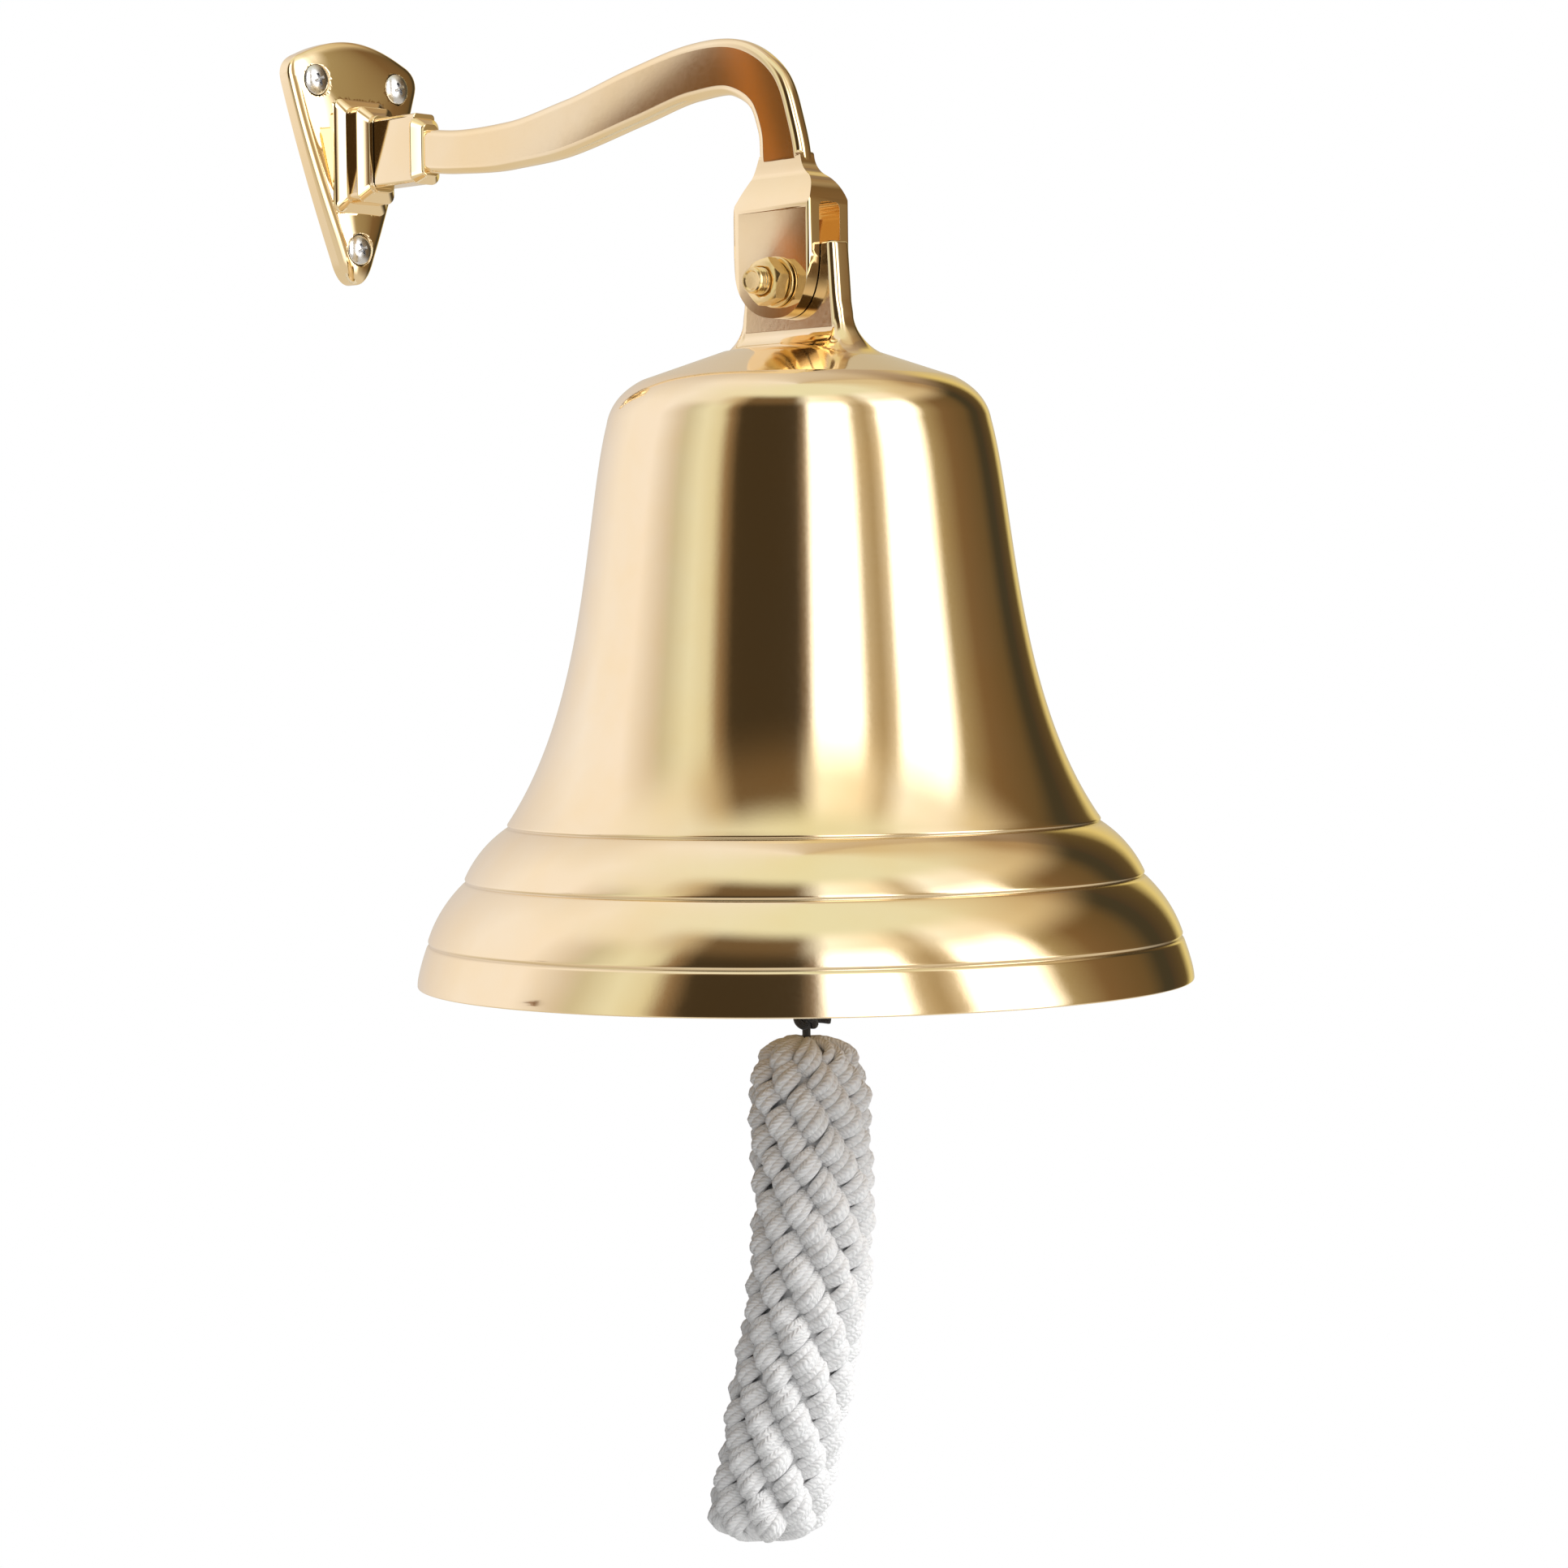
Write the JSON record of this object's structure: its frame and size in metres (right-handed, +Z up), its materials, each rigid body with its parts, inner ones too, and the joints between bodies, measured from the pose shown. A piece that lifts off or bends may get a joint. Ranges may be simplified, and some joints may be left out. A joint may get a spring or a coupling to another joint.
{
  "type": "wall-hung ship bell",
  "caption": "Polished brass bell swinging in the fork of a gooseneck wall bracket, with a swivel-hung clapper and a knotted white rope handle.",
  "frame": {"origin": "centre of the wall plate's flat back face", "axes": "+X away from the wall, +Z up, the fork bolt runs along Y"},
  "size_m": [0.2803, 0.2026, 0.41],
  "materials": {
    "polished_brass": "mirror polished cast brass",
    "turned_brass": "turned brass, lightly polished",
    "steel_screws": "bright zinc-plated steel",
    "clapper_steel": "machined steel",
    "black_cord": "black waxed braided cord",
    "white_cotton_rope": "matt white three-strand cotton"
  },
  "bodies": {
    "bracket": {"wall_plate": "polished_brass", "wall_screw_left": "steel_screws", "wall_screw_right": "steel_screws", "wall_screw_lower": "steel_screws", "arm_fixing_screw_upper": "steel_screws", "arm_fixing_screw_lower": "steel_screws", "bracket_arm": "polished_brass", "pivot_bolt": "turned_brass", "pivot_nut": "turned_brass", "pivot_washer_front": "turned_brass", "pivot_washer_rear": "turned_brass"},
    "bell_body": {"bell": "polished_brass", "swivel_bush": "turned_brass"},
    "swivel": {"clapper_swivel": "clapper_steel", "clapper_pin": "clapper_steel"},
    "clapper": {"clapper_rod": "turned_brass", "clapper_ball": "turned_brass", "clapper_tail": "turned_brass"},
    "lashing": {"lashing_upper_loop": "black_cord", "lashing_knot": "black_cord", "lashing_lower_loop": "black_cord"},
    "rope_handle": {"handle_core": "white_cotton_rope", "handle_braid": "white_cotton_rope"}
  },
  "joints": [
    {"name": "bell_swing", "type": "hinge", "parent": "bracket", "child": "bell_body", "pos_m": [0.179, 0, -0.047], "axis": [0, 1, 0], "range_deg": [-60, 30]},
    {"name": "clapper_turn", "type": "hinge", "parent": "bell_body", "child": "swivel", "pos_m": [0.179, 0, -0.079], "axis": [0, 0, 1], "continuous": true},
    {"name": "clapper_swing", "type": "hinge", "parent": "swivel", "child": "clapper", "pos_m": [0.179, 0, -0.091], "axis": [0, 1, 0], "range_deg": [-26, 26]},
    {"name": "lashing_swing", "type": "hinge", "parent": "clapper", "child": "lashing", "pos_m": [0.179, 0, -0.2307], "axis": [0, -1, 0], "range_deg": [-50, 50]},
    {"name": "handle_swing", "type": "hinge", "parent": "lashing", "child": "rope_handle", "pos_m": [0.179, 0, -0.25], "axis": [1, 0, 0], "range_deg": [-30, 30]}
  ]
}
